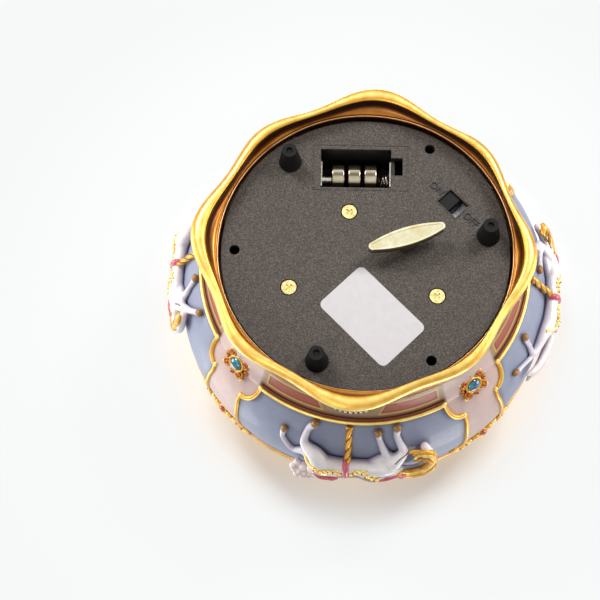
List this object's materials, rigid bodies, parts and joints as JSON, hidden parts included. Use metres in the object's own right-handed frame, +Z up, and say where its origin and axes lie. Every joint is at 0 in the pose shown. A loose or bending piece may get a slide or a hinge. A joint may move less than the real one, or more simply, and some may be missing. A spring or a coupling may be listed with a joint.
{
  "type": "wind-up music box",
  "caption": "Round wind-up carousel music box with bulging horse panels, wavy gold foot rim, winding key, light switch and battery pocket below, and a rotating top.",
  "frame": {"origin": "centre of the round body on the plane that the feet stand on", "axes": "+Z up out of the turntable, -Y towards the front horse panel"},
  "size_m": [0.1358, 0.1358, 0.077],
  "materials": {
    "painted_resin": "cast resin, hand painted, satin",
    "gold_paint": "satin gold paint with a brown wash on cast resin",
    "frosted_acrylic": "frosted, lets light through",
    "black_plastic": "fine moulded grain",
    "black_rubber": "smooth",
    "white_paper": "matt, blank",
    "brass_screw": "bright",
    "key_brass": "polished pale brass, bare field",
    "steel": "bright",
    "cell_steel": "nickel plated",
    "contact_metal": "nickel plated",
    "switch_black": "smooth",
    "board_green": "solder mask",
    "led_resin": "clear milky",
    "wire_red": "insulation",
    "wire_black": "insulation",
    "wire_white": "insulation",
    "zinc_alloy": "die cast",
    "gear_brass": "machined",
    "turntable_resin": "painted, satin",
    "blue_jewel": "glossy cabochon",
    "red_jewel": "glossy cabochon",
    "horse_white": "glazed white paint with shaded hollows"
  },
  "bodies": {
    "case": {"body_shell": "painted_resin", "foot_rim": "gold_paint", "top_ring": "gold_paint", "light_ring": "frosted_acrylic", "base_plate": "black_plastic", "rubber_feet": "black_rubber", "paper_label": "white_paper", "movement_screws": "brass_screw", "button_cells": "cell_steel", "positive_contact": "contact_metal", "negative_contact": "contact_metal", "contact_spring": "contact_metal", "switch_housing": "steel", "led_board": "board_green", "leds": "led_resin", "wire_red": "wire_red", "wire_black": "wire_black", "wire_switch": "wire_white", "bedplate": "zinc_alloy", "bridge_pillars": "steel", "bridge_plate": "zinc_alloy", "bridge_screws": "steel", "cylinder_bracket": "zinc_alloy", "comb_rest": "zinc_alloy", "tone_comb": "steel", "comb_screws": "steel", "governor_frame": "zinc_alloy", "spindle_bush": "gear_brass", "jewel_mounts": "gold_paint", "blue_jewels": "blue_jewel", "border_scrolls": "gold_paint", "red_jewels": "red_jewel", "horse_poles": "gold_paint", "horse_front": "horse_white", "horse_right": "horse_white", "horse_back": "horse_white", "horse_left": "horse_white"},
    "table": {"turntable": "turntable_resin", "spindle": "steel", "spindle_gear": "gear_brass"},
    "key": {"winding_key": "key_brass", "winding_arbor": "steel"},
    "barrel": {"spring_barrel": "steel", "mainspring": "steel", "crown_wheel": "gear_brass", "drive_gear": "gear_brass"},
    "cylinder": {"program_cylinder": "gear_brass", "cylinder_arbor": "steel", "cylinder_pinion": "gear_brass", "cylinder_wheel": "gear_brass"},
    "idler": {"governor_wheel": "gear_brass"},
    "fan": {"governor_fan": "gear_brass"},
    "knob": {"switch_knob": "switch_black"}
  },
  "joints": [
    {"name": "turntable_spin", "type": "hinge", "parent": "case", "child": "table", "pos_m": [0, 0, 0.071], "axis": [0, 0, 1], "continuous": true},
    {"name": "barrel_spin", "type": "hinge", "parent": "case", "child": "barrel", "pos_m": [-0.0131, 0.0034, 0.02], "axis": [0, 0, 1], "continuous": true},
    {"name": "cylinder_spin", "type": "hinge", "parent": "case", "child": "cylinder", "pos_m": [0.009, 0.0034, 0.02683], "axis": [1, 0, 0], "continuous": true},
    {"name": "idler_spin", "type": "hinge", "parent": "case", "child": "idler", "pos_m": [0.023, 0.01077, 0.02167], "axis": [1, 0, 0], "continuous": true},
    {"name": "fan_spin", "type": "hinge", "parent": "case", "child": "fan", "pos_m": [0.023, 0.00565, 0.01809], "axis": [1, 0, 0], "continuous": true},
    {"name": "key_wind", "type": "hinge", "parent": "case", "child": "key", "pos_m": [-0.0131, 0.0034, 0.006], "axis": [0, 0, 1], "continuous": true},
    {"name": "switch_slide", "type": "slide", "parent": "case", "child": "knob", "axis": [-0.7559, -0.6547, 0], "range_m": [0, 0.0034]}
  ],
  "couplings": [
    {"joint": "barrel_spin", "follows": "turntable_spin", "ratio": -1.25},
    {"joint": "cylinder_spin", "follows": "turntable_spin", "ratio": -3.75},
    {"joint": "idler_spin", "follows": "turntable_spin", "ratio": 15},
    {"joint": "fan_spin", "follows": "turntable_spin", "ratio": -60}
  ]
}
